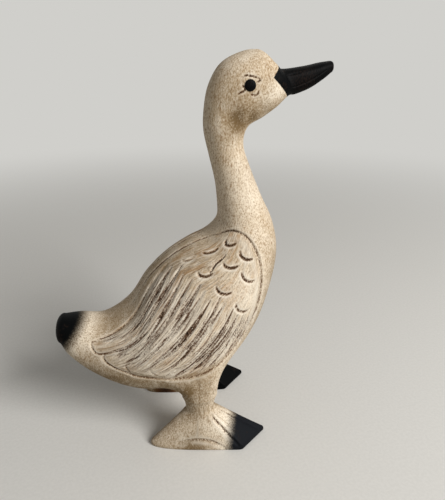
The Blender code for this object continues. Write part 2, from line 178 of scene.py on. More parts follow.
# The lowest place of each crescent, its tilt in degrees and how strongly it is cut
CRESCENTS = [
    ((8.15, 48), 29, 1), ((6.75, 30), 3, 1), ((5.7, 24), 17, 0.5), ((8.25, 80), 37, 1),
    ((7.35, 61), 16, 1), ((6.1, 47), 15, 1), ((7.65, 92), 38, 1), ((6.55, 72), 23, 1),
    ((6.85, 100), 33, 0.8), ((6.35, 108), 15, 0.4),
]
CRESCENT_RADIUS = 7.6
CRESCENT_TURN = (-58, 56)
CRESCENT_POINTS = 14
CRACK = [(7.45, 46), (7.1, 45), (6.75, 44), (6.45, 46), (6.25, 47)]
SPINE = [(3.0, 9), (3.6, 6), (4.4, 5.5), (5.2, 5.5), (5.9, 6), (6.5, 7), (7.0, 9)]
NAPE_LINE = [(7.0, 9), (7.35, 12), (7.7, 17), (8.2, 25)]
# Where a bundle of feather cuts starts and ends, how dark it is, how many millimetres it spreads
# to each side, and how many cuts it has
BUNDLES = [
    ((5.0, 20), (2.9, 53), 1.0, 3.0, 13),
    ((5.4, 25), (3.2, 59), 0.8, 2.4, 9),
    ((5.35, 34), (3.1, 79), 0.75, 2.2, 9),
    ((5.6, 42), (2.6, 92), 0.7, 2.4, 10),
    ((5.8, 50), (4.3, 72), 0.8, 1.8, 7),
    ((5.85, 57), (3.6, 84), 0.6, 2.0, 7),
    ((5.95, 66), (3.3, 99), 1.0, 2.6, 12),
    ((6.3, 70), (3.9, 103), 0.9, 2.2, 9),
    ((6.35, 77), (5.2, 87), 0.6, 1.4, 4),
    ((6.55, 87), (4.3, 107), 1.0, 2.4, 10),
    ((6.6, 94), (4.8, 108), 1.0, 2.2, 9),
    ((6.75, 101), (5.2, 114), 0.7, 2.2, 8),
    ((6.9, 110), (5.7, 118), 0.6, 1.8, 6),
    ((3.9, 59), (2.3, 75), 0.8, 1.4, 5),
    ((3.1, 66), (2.4, 84), 0.6, 1.6, 5),
    ((2.7, 46), (1.85, 58), 0.45, 2.0, 5),
    ((4.5, 16), (3.3, 34), 0.45, 2.0, 6),
]
# A bundle's cuts: millimetres between their points, how narrow the bundle is at its tip and where
# it stops widening, and how far and over what length they wave
BUNDLE_STEP = 5
BUNDLE_TIP = 0.08
BUNDLE_WIDENS = 0.8
WAVE_HEIGHT = 0.4
WAVE_LENGTH = 8
# The feathers run from FLOW_TOP to FLOW_LOW, from the back down to the flank. The lines along
# which they run are FLOW_SPACING apart, and on the shoulder they turn at SHOULDER_SLOPE
FLOW_TOP = [(4.6, 8), (5.1, 24), (5.6, 42), (5.95, 64), (6.55, 88), (6.9, 108), (7.3, 122)]
FLOW_LOW = [(1.7, 52), (2.1, 70), (2.6, 92), (3.4, 100), (4.35, 108), (5.7, 118), (6.6, 127)]
FLOW_SPACING = 18
FLOW_SIDES_APART = 40
SHOULDER_SLOPE = 3
FINE_STROKES = 560
PALE_STROKES = 70

EYE_AT = (15.95, 83)
EYE_RADIUS = 4.1
EYE_DOME = 0.9
EYE_RIM = 0.25
EYE_RIM_AT = 0.4
EYE_RIM_REACH = 0.5
EYE_LINES = [
    [(16.0, 65), (16.2, 67), (16.4, 74), (16.62, 85)],
    [(16.62, 85), (16.5, 87), (16.35, 85)],
    [(15.75, 73), (15.6, 81), (15.28, 76)],
    [(15.6, 91), (15.66, 96), (15.85, 98), (15.98, 95)],
]
MOUTH = [(19.0, 116), (20.1, 106), (21.1, 96), (22.2, 88)]
NOSTRIL = [(20.1, 65), (20.7, 58)]
# The grooves between the toes: place round the foot, depth, width and stain. Dashes of a finer
# tool lie in the first
TOE_GROOVES = [(0.325, 1.8, 2.4, 0.75), (0.46, 0.9, 1.3, 0.7)]
TOE_GROOVE_ENDS = (0.12, 0.97)
TOE_DASHES = [(0.16, 0.26), (0.29, 0.36), (0.4, 0.52), (0.56, 0.95)]
# In millimetres: the line over the arch of the foot, and the hollows under the jaw with how far
# each reaches and its depth
ARCH_LINE = [(-36, -46.2, 7.6), (-26, -48.8, 10.3), (-17, -51, 11.2), (-7, -53.6, 9.3), (5, -56.9, 2)]
JAW_HOLLOWS = [((18, -17, 271), 9, 2.4), ((29, -15, 275), 7, 1.4), ((39, -12, 280), 6, 0.9)]

# A stroke's width at its thin ends, and how far from its middle its pale border lies and
# reaches, all as shares of its full width. That border is partly limewash, partly a painted
# highlight
NARROWEST = 0.45
PALE_BORDER_AT = 1.25
PALE_BORDER_REACH = 0.6
STROKE_REACH = 2.2

# The edges of the black paint. The bill's is a sideways V with its point at BILL_POINT, the tail's
# goes through TAIL_EDGE_AT, and the toes' slopes back on both sides of the foot's middle
BILL_POINT = (45.5, 300.4)
BILL_SLOPE_ABOVE = 0.76
BILL_SLOPE_BELOW = 1.08
TAIL_EDGE_AT = (-106.4, 115)
TAIL_EDGE_TILT = (-15, 11.6)
TAIL_EDGE_LENGTH = 18.96
TOE_EDGE = 15.5
TOE_MIDDLE = 38.6
TOE_SLOPE_OUT = 0.45
TOE_SLOPE_IN = 0.35
HEAD_FROM = (40, 270)
TAIL_TO = -80
FEET_TO = 45
NO_PAINT = -50
BILL_SOFTNESS = 0.35
TAIL_SOFTNESS = 5
TOE_SOFTNESS = 5
EYE_SOFTNESS = 0.25
HALO_REACH = 6
HALO_STRENGTH = 0.8

# Soft patches of brown stain and painted shade, and of thicker limewash and painted highlights:
# centre in millimetres on the goose's right side, how far it reaches and its strength
STAIN_AND_SHADE_PATCHES = [
    # The first nine are painted shade under the jaw, in the hollow behind it and on the side of the head.
    # The next two are brown rubbed into the black of the bill
    ((19, -16, 269), 9, 0.75), ((26, -13, 267), 8, 0.6), ((22, -18, 276), 7, 0.4),
    ((34, -12, 274), 8, 0.6), ((43, -11, 279), 7, 0.5), ((38, -17, 284), 6, 0.4),
    ((12, -14, 260), 9, 0.35), ((22, -20, 287), 12, 0.45), ((50, -6, 285), 6, 0.5),
    ((72, -10, 299), 9, 0.9), ((94, -4, 305), 4, 0.8),
    # (-45, -34, 58), (-88, -20, 70) and (-20, -20, 50) darken the underside of the belly and the tail:
    # partly brown stain, partly painted shade
    ((-45, -34, 58), 28, 0.65), ((-88, -20, 70), 28, 0.9), ((-22, -46, 62), 15, 0.6),
    ((-20, -20, 50), 24, 0.6), ((-23, -49.5, 3), 12, 1.2), ((40, -34, 112), 20, 0.6),
    # (-42, -20, 3), the strongest, is painted shade on the inner heels, under the body
    ((-17, -42, 34), 9, 0.5), ((-42, -20, 3), 16, 2.9), ((52, -16, 160), 20, 0.6),
    ((45, -30, 140), 15, 0.45), ((-84, -8, 110), 16, 0.35), ((-40, -14, 150), 26, 0.45),
    ((36, -6, 235), 12, 0.3),
]
LIMEWASH_AND_HIGHLIGHT_PATCHES = [
    # Partly thicker limewash, partly painted highlights where the light falls on the neck, the crown and
    # the shoulder
    ((48, -18, 292), 7, 1.05), ((41, -19, 286), 5, 0.5), ((4, -48, 26), 9, 1.4),
    ((9, -54, 14), 9, 1.4), ((35, -14, 213), 14, 0.6), ((22, -45, 145), 22, 0.9),
    ((32, -9, 316), 12, 0.4), ((30, -12, 240), 12, 0.5), ((3, -44, 64), 11, 0.8),
    ((-4, -42, 48), 8, 0.8), ((-30, -40, 12), 8, 0.4), ((-8, -50, 19), 10, 0.7),
]

rng = np.random.default_rng(7)


def spline(points, at):
    """Read a smooth curve through the points, where point number k lies at k."""
    points = np.asarray(points, float)
    before = 2 * points[0] - points[1]
    after = 2 * points[-1] - points[-2]
    padded = np.vstack([before, points, after])
    at = np.clip(np.asarray(at, float), 0, len(points) - 1)
    number = np.minimum(at.astype(int), len(points) - 2)
    t = (at - number)[:, None]
    p0, p1, p2, p3 = (padded[number + k] for k in range(4))
    slope = p2 - p0
    curve = 2 * p0 - 5 * p1 + 4 * p2 - p3
    bend = 3 * p1 - p0 - 3 * p2 + p3
    return 0.5 * (2 * p1 + slope * t + curve * t**2 + bend * t**3)


def along(points, count):
    """Read evenly numbered places on the smooth curve through the points."""
    return spline(points, np.linspace(0, len(points) - 1, count))


def signed_power(value, power):
    return np.sign(value) * np.abs(value) ** power


STATION_TABLE = np.array(
    [(*back, *belly, width, square, low) for back, belly, width, square, low in STATIONS], float
)


def skin(stations, angles):
    """Give points on the loft. An angle runs from the ridge of the back down the right side."""
    row = spline(STATION_TABLE, stations)
    back, belly, width, square, low = row[:, 0:2], row[:, 2:4], row[:, 4], row[:, 5], row[:, 6]
    up = signed_power(np.cos(angles), 2 / square)
    up = up - low * (1 - up**2)
    across = signed_power(np.sin(angles), 2 / square)
    middle = (back + belly) / 2
    half = (back - belly) / 2
    x = middle[:, 0] + half[:, 0] * up
    z = middle[:, 1] + half[:, 1] * up
    return np.stack([x, -width * across, z], axis=1)


def on_loft(marks, count, mirror=1):
    """Give points on the loft along the smooth line through the marks."""
    line = along(marks, count)
    return skin(line[:, 0], np.radians(line[:, 1])) * (1, mirror, 1)


def stretches(steps):
    """Join stretches of evenly spaced values."""
    parts = [np.linspace(first, last, count + 1)[:-1] for first, last, count in steps]
    return np.append(np.concatenate(parts), steps[-1][1])


def nearest(values, value):
    return int(np.argmin(abs(values - value)))


def ellipse(share, length_across):
    """Give points round an ellipse, where share 0 is its back and 0.25 its outer side."""
    turn = 2 * np.pi * share
    return np.stack([-length_across[0] / 2 * np.cos(turn), length_across[1] / 2 * np.sin(turn)], axis=1)


def sharp_foot_outline(share):
    """Give the sole's outline: share 0 is the heel, 1/3 the outer corner and 1/2 the tip."""
    share = share % 1
    outer = share <= 0.5
    half = np.where(outer, share, 1 - share)
    back = np.clip(half * 3, 0, 1) ** HEEL_ROUNDNESS
    fore = np.clip(half * 6 - 2, 0, 1)
    forward = HEEL_TO_CORNER * back + (FOOT_LENGTH - HEEL_TO_CORNER) * fore - HEEL_TO_ANKLE
    out = np.where(outer, 1, -1) * FOOT_WIDTH / 2 * np.sqrt(back) * (1 - fore)
    turned_forward = forward * math.cos(TOE_OUT) - out * math.sin(TOE_OUT)
    turned_out = forward * math.sin(TOE_OUT) + out * math.cos(TOE_OUT)
    return np.stack([turned_forward, turned_out], axis=1)


def foot_outline(share):
    """Give the sole's outline with worn corners."""
    shifts = np.linspace(-CORNER_ROUNDING, CORNER_ROUNDING, CORNER_SAMPLES)
    return np.mean([sharp_foot_outline(share + shift) for shift in shifts], axis=0)


def on_right_leg(flat, height):
    """Place points that are given forward of and out from the leg's axis."""
    height = np.broadcast_to(height, len(flat))
    return np.stack([LEG_FORWARD + flat[:, 0], -LEG_OUT - flat[:, 1], height], axis=1)


def foot_points(share, spread):
    """Give points on the top of the right foot, where spread is 0 at the ankle and 1 at the edge."""
    spread = np.broadcast_to(spread, share.shape)
    ankle = ellipse(share, ANKLE_LENGTH_ACROSS)
    flat = ankle + (foot_outline(share) - ankle) * spread[:, None]
    return on_right_leg(flat, ANKLE_HEIGHT + (FOOT_EDGE - ANKLE_HEIGHT) * spread)


def arch(share):
    """Say how much of the carved arch there is at each place along the foot's outer edge."""
    return np.exp(-(((share - ARCH_AT) / ARCH_REACH) ** 2))


class Skin:
    """Collects the vertices and faces of the goose, and each vertex's place on the loft."""

    def __init__(self):
        self.points = []
        self.places = []
        self.faces = []
        self.count = 0

    def add(self, points, stations, angles):
        first = self.count
        columns = [np.broadcast_to(values, len(points)) for values in (stations, angles)]
        self.points.append(points)
        self.places.append(np.stack(columns, axis=1))
        self.count += len(points)
        return np.arange(first, self.count)

    def bridge(self, ring_a, ring_b, skip=None):
        """Join two rings with a band of quads."""
        quads = np.stack([ring_a, np.roll(ring_a, -1), np.roll(ring_b, -1), ring_b], axis=1)
        if skip is not None:
            quads = quads[~skip]
        self.faces.extend(quads.tolist())

    def rounded_end(self, ring, points, next_points, rounding, station):
        """Close the loft with a rounded end."""
        centre = points.mean(axis=0)
        outward = centre - next_points.mean(axis=0)
        outward /= np.linalg.norm(outward)
        last = ring
        for turn in np.linspace(0, math.pi / 2, ROUNDING_STEPS + 1)[1:-1]:
            inner = centre + (points - centre) * math.cos(turn) + outward * rounding * math.sin(turn)
            new = self.add(inner, station, 0)
            self.bridge(last, new)
            last = new
        tip = self.add((centre + outward * rounding)[None], station, 0)[0]
        self.faces.extend([int(a), int(b), int(tip)] for a, b in zip(last, np.roll(last, -1)))


def leg_rings(border, tangents, share):
    """Give the rings of the right leg: thigh, shin, top of the foot, edge and sole."""
    shin = on_right_leg(ellipse(share, SHIN_LENGTH_ACROSS), SHIN_TOP)
    gap = np.linalg.norm(shin - border, axis=1)[:, None]
    down = np.array([0, 0, -SHIN_PULL])
    for t in np.linspace(0, 1, THIGH_ROWS + 1)[1:]:
        leave = (t**3 - 2 * t**2 + t) * gap * tangents
        arrive = (t**3 - t**2) * gap * down
        blend = 3 * t**2 - 2 * t**3
        yield border * (1 - blend) + shin * blend + leave + arrive
    for t in np.linspace(0, 1, SHIN_ROWS + 1)[1:]:
        narrowing = 1 - (1 - t) ** 2
        size = [top + (end - top) * narrowing for top, end in zip(SHIN_LENGTH_ACROSS, ANKLE_LENGTH_ACROSS)]
        yield on_right_leg(ellipse(share, size), SHIN_TOP + (ANKLE_HEIGHT - SHIN_TOP) * t)
    top_spread = 1 - (FOOT_BEVEL + ARCH_RISE * arch(share)) / (ANKLE_HEIGHT - FOOT_EDGE)
    for t in np.linspace(0, 1, FOOT_ROWS + 1)[1:]:
        top = foot_points(share, top_spread * t)
        yield top
    edge = foot_points(share, 1)
    edge[:, 2] = FOOT_EDGE - FOOT_BEVEL * (1 + arch(share))
    for t in EDGE_STEPS:
        bulge = math.sin(math.pi * t) * EDGE_BULGE
        yield top + (edge - top) * t + (0, 0, bulge)
    inward = edge - edge.mean(axis=0)
    inward /= np.linalg.norm(inward, axis=1)[:, None]
    yield edge * (1, 1, 0) + (0, 0, SOLE_CORNER_UP)
    yield (edge - inward * SOLE_CORNER_IN) * (1, 1, 0)


def thigh_walk(first, last, top, bottom, middle):
    """Walk round the patch of the loft where the right leg starts, from its back, outside first."""
    walk = [(first, side) for side in range(middle, top, -1)]
    walk += [(ring, top) for ring in range(first, last)]
    walk += [(last, side) for side in range(top, bottom)]
    walk += [(ring, bottom) for ring in range(last, first, -1)]
    walk += [(first, side) for side in range(bottom, middle, -1)]
    return np.array(walk).T


def inward_tangents(rings, ring_of, side_of):
    """Give the direction along the skin, from each point of the walk into the patch."""
    border = rings[ring_of, side_of]
    run = rings[ring_of + 1, side_of] - rings[ring_of - 1, side_of]
    turn = rings[ring_of, side_of + 1] - rings[ring_of, side_of - 1]
    normal = np.cross(turn, run)
    normal /= np.linalg.norm(normal, axis=1)[:, None]
    inward = border.mean(axis=0) - border
    inward -= normal * (inward * normal).sum(axis=1)[:, None]
    return inward / np.linalg.norm(inward, axis=1)[:, None]


def build_skin():
    """Build the uncut goose: points in millimetres, places on the loft, and faces."""
    stations = stretches(STATION_STEPS)
    half = stretches(ANGLE_STEPS)
    degrees = np.concatenate([half, 360 - half[-2:0:-1]])
    sides = len(degrees)
    angles = np.radians(degrees)
    rings = np.array([skin(np.full(sides, station), angles) for station in stations])
    folded = np.minimum(degrees, 360 - degrees)
    goose = Skin()
    loft = np.array([goose.add(ring, station, folded) for ring, station in zip(rings, stations)])
    first, last = (nearest(stations, station) for station in THIGH_STATIONS)
    top, bottom = (nearest(degrees, angle) for angle in THIGH_ANGLES)
    column = np.arange(sides)
    right = (column >= top) & (column < bottom)
    left = right[::-1]
    for number in range(len(rings) - 1):
        skip = (right | left) if first <= number < last else None
        goose.bridge(loft[number], loft[number + 1], skip)
    goose.rounded_end(loft[0], rings[0], rings[1], TAIL_ROUNDING, stations[0])
    goose.rounded_end(loft[-1], rings[-1], rings[-2], BILL_ROUNDING, stations[-1])
    middle = nearest(degrees, sum(THIGH_ANGLES) / 2)
    ring_of, side_of = thigh_walk(first, last, top, bottom, middle)
    station_steps = abs(np.diff(stations[ring_of], prepend=stations[ring_of[0]])) / THIGH_WALK_STATION
    angle_steps = abs(np.diff(degrees[side_of], prepend=degrees[side_of[0]])) / THIGH_WALK_ANGLE
    share = np.cumsum(station_steps + angle_steps) / THIGH_WALK_POINTS
    tangents = inward_tangents(rings, ring_of, side_of)
    rings_of_leg = list(leg_rings(rings[ring_of, side_of], tangents, share))
    for mirror in (1, -1):
        previous = loft[ring_of, side_of * mirror % sides]
        for points in rings_of_leg:
            new = goose.add(points * (1, mirror, 1), *LEG_PLACE)
            goose.bridge(previous, new)
            previous = new
        goose.faces.append(previous.tolist())
    return np.concatenate(goose.points), np.concatenate(goose.places), goose.faces


def find_places(points, places):
    """Give the vertices of the legs the places on the loft that they are nearest to."""
    grids = np.meshgrid(np.arange(*NEAR_LEG_STATIONS), np.arange(*NEAR_LEG_ANGLES), indexing="ij")
    samples = np.stack([grid.ravel() for grid in grids], axis=1)
    tree = KDTree(len(samples))
    for number, point in enumerate(skin(samples[:, 0], np.radians(samples[:, 1]))):
        tree.insert(point, number)
    tree.balance()
    for number in np.nonzero((places[:, 1] == LEG_PLACE[1]) & (points[:, 2] > SHIN_TOP))[0]:
        x, y, z = points[number]
        found = tree.find_n((x, -abs(y), z), NEAREST_COUNT)
        weights = np.array([1 / (distance + NEAREST_SOFTENING) for _, _, distance in found])
        places[number] = weights @ samples[[index for _, index, _ in found]] / weights.sum()


def mesh_of(points, faces):
    mesh = bpy.data.meshes.new("goose_carving")
    mesh.from_pydata(points, [], faces)
    bm = bmesh.new()
    bm.from_mesh(mesh)
    bmesh.ops.recalc_face_normals(bm, faces=bm.faces)
    bm.to_mesh(mesh)
    bm.free()
    mesh.update()
    return mesh


def normals_of(mesh):
    values = np.empty(len(mesh.vertices) * 3)
    mesh.vertex_normals.foreach_get("vector", values)
    return values.reshape(-1, 3)


class Carving:
    """Adds up what the gouge does to each vertex of the skin."""

    def __init__(self, points, surface):
        self.points = points
        self.surface = surface
        self.depth = np.zeros(len(points))
        self.cut = np.zeros(len(points))
        self.ridge = np.zeros(len(points))
        self.hollow = np.zeros(len(points))

    def stroke(self, line, depth, widths, stain=0.0, start=0.0, end=0.0, pale_border=0.0):
        """Cut a V along the line.

        Widths are of its left and right flank, or one for both. Stain is how dark it gets, and the
        last argument how pale its borders are: partly limewash, partly a painted highlight.
        Start and end are the shares of the depth there.
        """
        left_width, right_width = np.broadcast_to(widths, 2)
        snapped = [self.surface.find_nearest(Vector(point)) for point in line]
        path = np.array([place[0] for place in snapped])
        facing = np.array([place[1] for place in snapped])
        reach = STROKE_REACH * max(left_width, right_width) + 1
        low, high = path.min(axis=0) - reach, path.max(axis=0) + reach
        near = np.nonzero(((self.points > low) & (self.points < high)).all(axis=1))[0]
        if not len(near):
            return
        share, lateral, best = self.nearest_on(path, facing, self.points[near])
        least = np.where(share < 0.5, start, end)
        swell = least + (1 - least) * np.sqrt(np.sin(np.pi * np.clip(share, 0, 1)))
        width = np.where(lateral > 0, left_width, right_width) * (NARROWEST + (1 - NARROWEST) * swell)
        profile = np.clip(1 - best / width, 0, 1)
        border = np.clip(1 - abs(best / width - PALE_BORDER_AT) / PALE_BORDER_REACH, 0, 1)
        self.depth[near] = np.maximum(self.depth[near], depth * swell * profile)
        self.cut[near] = np.maximum(self.cut[near], stain * swell * profile)
        self.ridge[near] = np.maximum(self.ridge[near], pale_border * swell * border)

    def nearest_on(self, path, facing, points):
        """Find each point's share of the path's length, its offset to the left and its distance."""
        run = np.diff(path, axis=0)
        length = np.linalg.norm(run, axis=1)
        best = np.full(len(points), np.inf)
        share = np.zeros(len(points))
        lateral = np.zeros(len(points))
        passed = 0.0
        for k in range(len(run)):
            offset = points - path[k]
            t = np.clip(offset @ run[k] / length[k] ** 2, 0, 1)
            gap = offset - t[:, None] * run[k]
            distance = np.linalg.norm(gap, axis=1)
            left = np.cross(facing[k], run[k] / length[k])
            closer = distance < best
            best = np.where(closer, distance, best)
            share = np.where(closer, (passed + t * length[k]) / length.sum(), share)
            lateral = np.where(closer, np.sign(gap @ left) * distance, lateral)
            passed += length[k]
        return share, lateral, best


def mirrored(mirror, left, right):
    """Give a stroke's two widths, which change places on the goose's left side."""
    return (left, right) if mirror == 1 else (right, left)


def carve_outline(carving, mirror):
    outline = on_loft(WING_OUTLINE, OUTLINE_POINTS, mirror)

    def part(first, last):
        return outline[int(first * OUTLINE_POINTS):int(last * OUTLINE_POINTS)]

    flanks = mirrored(mirror, 1.5, 5.5)
    for first, last, depth in OUTLINE_CUTS:
        carving.stroke(part(first, last), depth, flanks, stain=0.35, start=0.4, end=0.4, pale_border=0.5)
    for first, last, stain in OUTLINE_INKS:
        carving.stroke(part(first, last), 1.7, 1.3, stain, start=0.5, end=0.5)
    carving.stroke(on_loft(NAPE_LINE, 30, mirror), 0.8, 1.0, stain=0.8, start=0.2, end=0.5)
    carving.stroke(on_loft(SPINE, 50, mirror), 1.0, 1.6, stain=1.15, start=0.2, end=0.6, pale_border=0.4)
    for strength, marks in WING_TIPS:
        line = on_loft(marks, 40, mirror)
        carving.stroke(line, 1.3 * strength, 1.3, stain=0.8 * strength, start=0.6, end=0.3, pale_border=0.6)


def carve_bundle(carving, mirror, start, end, dark, spread, count):
    """Cut a bundle of nearly parallel strokes that fan out from one tip."""
    start, end = np.array(start, float), np.array(end, float)
    step = (end - start) * (MM_PER_STATION, MM_PER_DEGREE)
    length = np.linalg.norm(step)
    sideways = np.array([-step[1], step[0]]) / length / (MM_PER_STATION, MM_PER_DEGREE)

    def cut(first, last, offset, depth, width, stain, pale_border=1, tip=0.0, slant=0.0):
        t = np.linspace(first, last, max(4, int(length * (last - first) / BUNDLE_STEP)))
        fan = BUNDLE_TIP + (1 - BUNDLE_TIP) * np.sin(np.pi * np.clip(t * BUNDLE_WIDENS, 0, 1))
        wave = WAVE_HEIGHT * np.sin(t * length / WAVE_LENGTH + offset * 5) + slant * (t - first)
        marks = start + (end - start) * t[:, None] + sideways * (offset * fan + wave)[:, None]
        line = skin(marks[:, 0], np.radians(marks[:, 1])) * (1, mirror, 1)
        carving.stroke(line, depth, width, stain * dark, start=tip, pale_border=pale_border)

    cut(0, 1, offset=0, depth=1.4, width=1.05, stain=1.15, tip=0.6)
    for side in (-0.85, 0.85):
        last = rng.uniform(0.6, 1)
        cut(0, last, offset=side * spread, depth=1.0, width=0.85, stain=0.95, tip=0.5)
    for _ in range(count):
        first = rng.uniform(0, 0.55)
        last = first + (1.02 - first) * rng.uniform(0.25, 0.8)
        offset = rng.uniform(-1, 1) * spread
        stain = rng.uniform(0.4, 0.95)
        slant = rng.normal(0, 5)
        depth = rng.uniform(0.5, 1.1)
        cut(first, last, offset, depth, width=rng.uniform(0.7, 0.95), stain=stain, slant=slant)
    for _ in range(int(dark * length / 7)):
        first = rng.uniform(0.05, 0.8)
        offset = rng.choice([0, 0, rng.uniform(-0.6, 0.6)]) * spread
        last = first + rng.uniform(3.5, 9) / length
        cut(first, last, offset, depth=1.8, width=0.8, stain=1.9, pale_border=0)


def carve_fine_strokes(carving, mirror):
    """Cut short strokes along the feathers. The last ones only leave a pale line, partly limewash and
    partly a painted highlight.
    """
    for number in range(FINE_STROKES + PALE_STROKES):
        share = rng.uniform(0, len(FLOW_TOP) - 1)
        high, low = spline(FLOW_TOP, [share])[0], spline(FLOW_LOW, [share])[0]
        first = rng.uniform(0, 0.8)
        last = min(1, first + rng.uniform(0.1, 0.35))
        marks = [high + (low - high) * first, high + (low - high) * last + (0, rng.normal(0, 2.5))]
        line = on_loft(marks, 6, mirror)
        depth, stain = rng.uniform(0.25, 0.6), rng.uniform(0.2, 0.75)
        if number < FINE_STROKES:
            carving.stroke(line, depth, 0.7, stain, pale_border=0.7)
        else:
            carving.stroke(line, 0, 0.9, pale_border=1.3)


def carve_crescents(carving, mirror):
    for mark, tilt, strength in CRESCENTS:
        lowest = on_loft([mark, mark], 2, mirror)[0]
        turns = np.radians(270 - tilt + np.linspace(*CRESCENT_TURN, CRESCENT_POINTS))
        arc = np.stack([np.cos(turns), turns * 0, 1 + np.sin(turns)], axis=1) * CRESCENT_RADIUS
        depth = stain = 1.4 * strength
        carving.stroke(lowest + arc, depth, (1.4, 1.8), stain, start=0.5, end=0.45, pale_border=1)


def carve_head(carving, mirror):
    for line in EYE_LINES:
        carving.stroke(on_loft(line, 12, mirror), 0.5, 1.1, stain=1.25, start=0.4, end=0.4, pale_border=0.6)
    carving.stroke(on_loft(MOUTH, 24, mirror), 0.45, 0.9, stain=0.2)
    carving.stroke(on_loft(NOSTRIL, 8, mirror), 0.5, 1.0, stain=0.2)
    for centre, reach, depth in JAW_HOLLOWS:
        squared = ((carving.points - np.array(centre) * (1, mirror, 1)) ** 2).sum(axis=1)
        carving.hollow = np.maximum(carving.hollow, depth * np.exp(-squared / reach**2))


def carve_foot(carving, mirror):
    def line_on_foot(share, ends, count):
        return foot_points(np.full(count, share), np.linspace(*ends, count)) * (1, mirror, 1)

    for share, depth, width, stain in TOE_GROOVES:
        line = line_on_foot(share, TOE_GROOVE_ENDS, 12)
        carving.stroke(line, depth, width, stain, start=0.5, end=0.8, pale_border=0.7)
    for ends in TOE_DASHES:
        line = line_on_foot(TOE_GROOVES[0][0], ends, 6)
        carving.stroke(line, 2.1, 1.1, stain=1.3, start=0.5, end=0.5)
    line = along(ARCH_LINE, 24) * (1, mirror, 1)
    carving.stroke(line, 1.1, mirrored(mirror, 1.4, 3), stain=0.6, start=0.6, end=0.6, pale_border=0.5)


def carve(points, surface):
    carving = Carving(points, surface)
    for mirror in (1, -1):
        carve_outline(carving, mirror)
        for values in BUNDLES:
            carve_bundle(carving, mirror, *values)
        carve_fine_strokes(carving, mirror)
        carve_crescents(carving, mirror)
        carve_head(carving, mirror)
        carve_foot(carving, mirror)
    carving.stroke(on_loft(CRACK, 20), 2.2, 0.95, stain=1.7, start=0.4)
    return carving


def smooth(start, end, value):
    t = np.clip((value - start) / (end - start), 0, 1)
    return t * t * (3 - 2 * t)


def inside_wing(places):
    """Say how far inside the wing each vertex is, from 0 to 1."""
    outline = along(WING_OUTLINE + WING_CLOSING, 200) * (MM_PER_STATION, MM_PER_DEGREE)
    flat = places * (MM_PER_STATION, MM_PER_DEGREE)
    inside = np.zeros(len(flat), bool)
    distance = np.full(len(flat), np.inf)
    for a, b in zip(outline, np.roll(outline, -1, axis=0)):
        crosses = (a[1] > flat[:, 1]) != (b[1] > flat[:, 1])
        with np.errstate(divide="ignore", invalid="ignore"):
            at = a[0] + (flat[:, 1] - a[1]) / (b[1] - a[1]) * (b[0] - a[0])
        inside ^= crosses & (flat[:, 0] < at)
        run = b - a
        t = np.clip((flat - a) @ run / max(run @ run, 1e-9), 0, 1)
        distance = np.minimum(distance, np.linalg.norm(flat - a - t[:, None] * run, axis=1))
    return np.where(inside, smooth(0, WING_FADE, distance), 0)


def flow_of(points, places):
    """Give coordinates in millimetres along and across the feathers, which the grain follows.

    Across, the feather that a vertex lies on is found by halving the range 20 times.
    """
    station, degree = places.T
    low = np.zeros(len(places))
    high = np.full(len(places), len(FLOW_TOP) - 1.0)
    for _ in range(20):
        middle = (low + high) / 2
        top, bottom = spline(FLOW_TOP, middle), spline(FLOW_LOW, middle)
        slope = (bottom[:, 1] - top[:, 1]) / (bottom[:, 0] - top[:, 0])
        slope = np.where(station > top[:, 0], SHOULDER_SLOPE, slope)
        above = degree > top[:, 1] + (station - top[:, 0]) * slope
        low, high = np.where(above, middle, low), np.where(above, high, middle)
    beyond = degree - top[:, 1] - (station - top[:, 0]) * slope
    across = middle * FLOW_SPACING + beyond * MM_PER_DEGREE
    side = np.sign(points[:, 1]) * FLOW_SIDES_APART
    return np.stack([station * MM_PER_STATION, across, side], axis=1)


def paint_distance(points):
    """Say where the black paint is: above 0 inside it, in units of how soft its edge is.

    Two more are given: how far inside an eye a vertex is, and the pale halo round the soft edges.
    """
    x, y, z = points.T
    side = abs(y)
    above = z - BILL_POINT[1]
    bill = x - BILL_POINT[0] - np.where(above > 0, BILL_SLOPE_ABOVE * above, -BILL_SLOPE_BELOW * above)
    bill = np.where((x > HEAD_FROM[0]) & (z > HEAD_FROM[1]), bill, NO_PAINT)
    tail = (x - TAIL_EDGE_AT[0]) * TAIL_EDGE_TILT[0] + (z - TAIL_EDGE_AT[1]) * TAIL_EDGE_TILT[1]
    tail = np.where(x < TAIL_TO, tail / TAIL_EDGE_LENGTH, NO_PAINT)
    outer, inner = np.maximum(side - TOE_MIDDLE, 0), np.maximum(TOE_MIDDLE - side, 0)
    edge = TOE_EDGE - TOE_SLOPE_OUT * outer - TOE_SLOPE_IN * inner
    toe = np.where(z < FEET_TO, x - edge, NO_PAINT)
    eye_centre = on_loft([EYE_AT, EYE_AT], 2)[0]
    eye = EYE_RADIUS - np.linalg.norm(np.stack([x, -side, z], axis=1) - eye_centre, axis=1)
    halo = np.exp(-((np.maximum(tail, toe) + HALO_REACH) / HALO_REACH) ** 2)
    parts = [bill / BILL_SOFTNESS, tail / TAIL_SOFTNESS, toe / TOE_SOFTNESS, eye / EYE_SOFTNESS]
    return np.max(parts, axis=0), eye, halo


def patches(points, values):
    """Add up soft round patches, the same on both sides."""
    folded = np.stack([points[:, 0], -abs(points[:, 1]), points[:, 2]], axis=1)
    total = np.zeros(len(points))
    for centre, reach, strength in values:
        squared = ((folded - centre) ** 2).sum(axis=1)
        total += strength * np.exp(-squared / reach**2)
    return total


def keep(mesh, name, values):
    """Keep values as an attribute of the mesh, for the material."""
    kind = "FLOAT_VECTOR" if values.ndim == 2 else "FLOAT"
    attribute = mesh.attributes.new(name, kind, "POINT")
    key = "vector" if values.ndim == 2 else "value"
    attribute.data.foreach_set(key, values.astype(np.float32).ravel())


